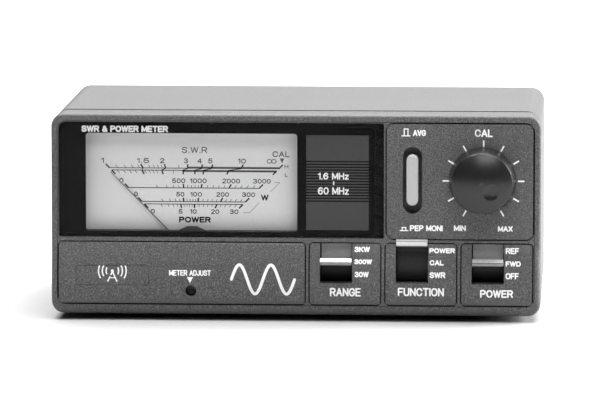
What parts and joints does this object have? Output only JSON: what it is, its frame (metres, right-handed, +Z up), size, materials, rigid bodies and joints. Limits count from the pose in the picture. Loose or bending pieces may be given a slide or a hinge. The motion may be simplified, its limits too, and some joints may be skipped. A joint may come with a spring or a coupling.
{
  "type": "swr meter",
  "caption": "Bench SWR and power meter for a radio station: boxed case with a wide dial window, a knob, a push button, tilting levers and coaxial sockets at the back.",
  "frame": {"origin": "on the surface that the feet stand on, below the middle of the object's bounding box", "axes": "+Z up, -Y out of the front panel, +X to the right seen from the front"},
  "size_m": [0.155, 0.1164, 0.0658],
  "materials": {
    "panel_plastic": "fine spark texture, satin",
    "lever_plastic": "satin",
    "case_paint": "fine hammered grey paint",
    "window_acrylic": "polished acrylic",
    "mask_print": "black screen print",
    "nameplate_metal": "satin",
    "chassis_steel": "zinc plated",
    "foot_rubber": "matte",
    "screw_steel": "nickel plated",
    "black_screw": "black oxide",
    "black_plastic": "moulded",
    "clear_styrene": "clear moulded",
    "dial_white": "matte white",
    "soft_iron": "ground",
    "movement_brass": "satin",
    "pointer_black": "painted black",
    "coil_copper": "enamelled wire",
    "lamp_glass": "clear",
    "knob_black": "satin",
    "pot_metal": "plated",
    "button_grey": "satin",
    "tip_chrome": "plated",
    "slider_nylon": "natural",
    "circuit_board": "solder mask",
    "part_case": "moulded",
    "wire_sleeve": "PVC sleeve",
    "socket_nickel": "bright nickel plate",
    "contact_gold": "gold plated"
  },
  "bodies": {
    "case": {"front_bezel": "panel_plastic", "control_panel": "panel_plastic", "display_window": "window_acrylic", "window_mask": "mask_print", "nameplate": "nameplate_metal", "top_cover": "case_paint", "bottom_chassis": "chassis_steel", "rear_panel": "case_paint", "rubber_feet": "foot_rubber", "cover_screws": "black_screw", "bezel_screws": "screw_steel", "rear_screws": "black_screw", "meter_case": "black_plastic", "meter_cover": "clear_styrene", "dial_plate": "dial_white", "movement_shroud": "black_plastic", "magnet_yoke": "soft_iron", "core_magnet": "soft_iron", "core_holder": "movement_brass", "movement_bridge": "movement_brass", "hairspring": "movement_brass", "meter_lamps": "lamp_glass", "cal_pot": "pot_metal", "pot_nut": "screw_steel", "button_switch": "black_plastic", "range_switch": "black_plastic", "function_switch": "black_plastic", "power_switch": "black_plastic", "main_board": "circuit_board", "board_parts": "part_case", "board_spacers": "movement_brass", "signal_wires": "wire_sleeve", "coupler_box": "chassis_steel", "coupler_lid": "chassis_steel", "through_line": "movement_brass", "coupler_cores": "soft_iron", "tx_socket": "socket_nickel", "antenna_socket": "socket_nickel", "socket_insulators": "slider_nylon", "socket_contacts": "contact_gold", "socket_screws": "screw_steel", "dc_jack": "black_plastic", "dc_jack_nut": "screw_steel"},
    "knob": {"cal_knob": "knob_black", "pot_shaft": "screw_steel"},
    "button": {"push_button": "button_grey", "button_plunger": "screw_steel"},
    "range_lever": {"range_lever": "lever_plastic", "range_tip": "tip_chrome"},
    "range_slider": {"range_slider": "slider_nylon"},
    "function_lever": {"function_lever": "lever_plastic", "function_tip": "tip_chrome"},
    "function_slider": {"function_slider": "slider_nylon"},
    "power_lever": {"power_lever": "lever_plastic", "power_tip": "tip_chrome"},
    "power_slider": {"power_slider": "slider_nylon"},
    "pointer": {"pointer": "pointer_black", "moving_coil": "coil_copper"},
    "zero_screw": {"zero_screw": "black_plastic"},
    "zero_arm": {"zero_arm": "movement_brass"}
  },
  "joints": [
    {"name": "cal_knob_turn", "type": "hinge", "parent": "case", "child": "knob", "pos_m": [0.0591, -0.05165, 0.0451], "axis": [0, 1, 0], "range_deg": [-284, 16]},
    {"name": "button_press", "type": "slide", "parent": "case", "child": "button", "axis": [0, 1, 0], "range_m": [0, 0.0025], "stiffness_N_per_m": 400, "springref_m": -0.001},
    {"name": "range_lever_tilt", "type": "hinge", "parent": "case", "child": "range_lever", "pos_m": [0.0129, -0.03085, 0.0193], "axis": [1, 0, 0], "range_deg": [-19, 16]},
    {"name": "range_slider_shift", "type": "slide", "parent": "case", "child": "range_slider", "axis": [0, 1, 0], "range_m": [-0.00182, 0.00155]},
    {"name": "function_lever_tilt", "type": "hinge", "parent": "case", "child": "function_lever", "pos_m": [0.0369, -0.03085, 0.0193], "axis": [1, 0, 0], "range_deg": [0, 35]},
    {"name": "function_slider_shift", "type": "slide", "parent": "case", "child": "function_slider", "axis": [0, 1, 0], "range_m": [0, 0.00328]},
    {"name": "power_lever_tilt", "type": "hinge", "parent": "case", "child": "power_lever", "pos_m": [0.0609, -0.03085, 0.0193], "axis": [1, 0, 0], "range_deg": [-19, 16]},
    {"name": "power_slider_shift", "type": "slide", "parent": "case", "child": "power_slider", "axis": [0, 1, 0], "range_m": [-0.00182, 0.00155]},
    {"name": "pointer_swing", "type": "hinge", "parent": "case", "child": "pointer", "pos_m": [-0.0331, -0.03965, 0.0201], "axis": [0, 1, 0], "range_deg": [0, 89], "stiffness_Nm_per_rad": 0.00002, "springref_deg": -5.73},
    {"name": "zero_screw_turn", "type": "hinge", "parent": "case", "child": "zero_screw", "pos_m": [-0.0331, -0.04365, 0.0096], "axis": [0, 1, 0], "range_deg": [-40, 40]},
    {"name": "zero_arm_swing", "type": "hinge", "parent": "case", "child": "zero_arm", "pos_m": [-0.0331, -0.04165, 0.0201], "axis": [0, 1, 0], "range_deg": [-4.2, 4.2]}
  ],
  "couplings": [
    {"joint": "range_slider_shift", "follows": "range_lever_tilt", "m_per_rad": 0.0052},
    {"joint": "function_slider_shift", "follows": "function_lever_tilt", "m_per_rad": 0.0052},
    {"joint": "power_slider_shift", "follows": "power_lever_tilt", "m_per_rad": 0.0052},
    {"joint": "zero_arm_swing", "follows": "zero_screw_turn", "ratio": -0.1}
  ]
}
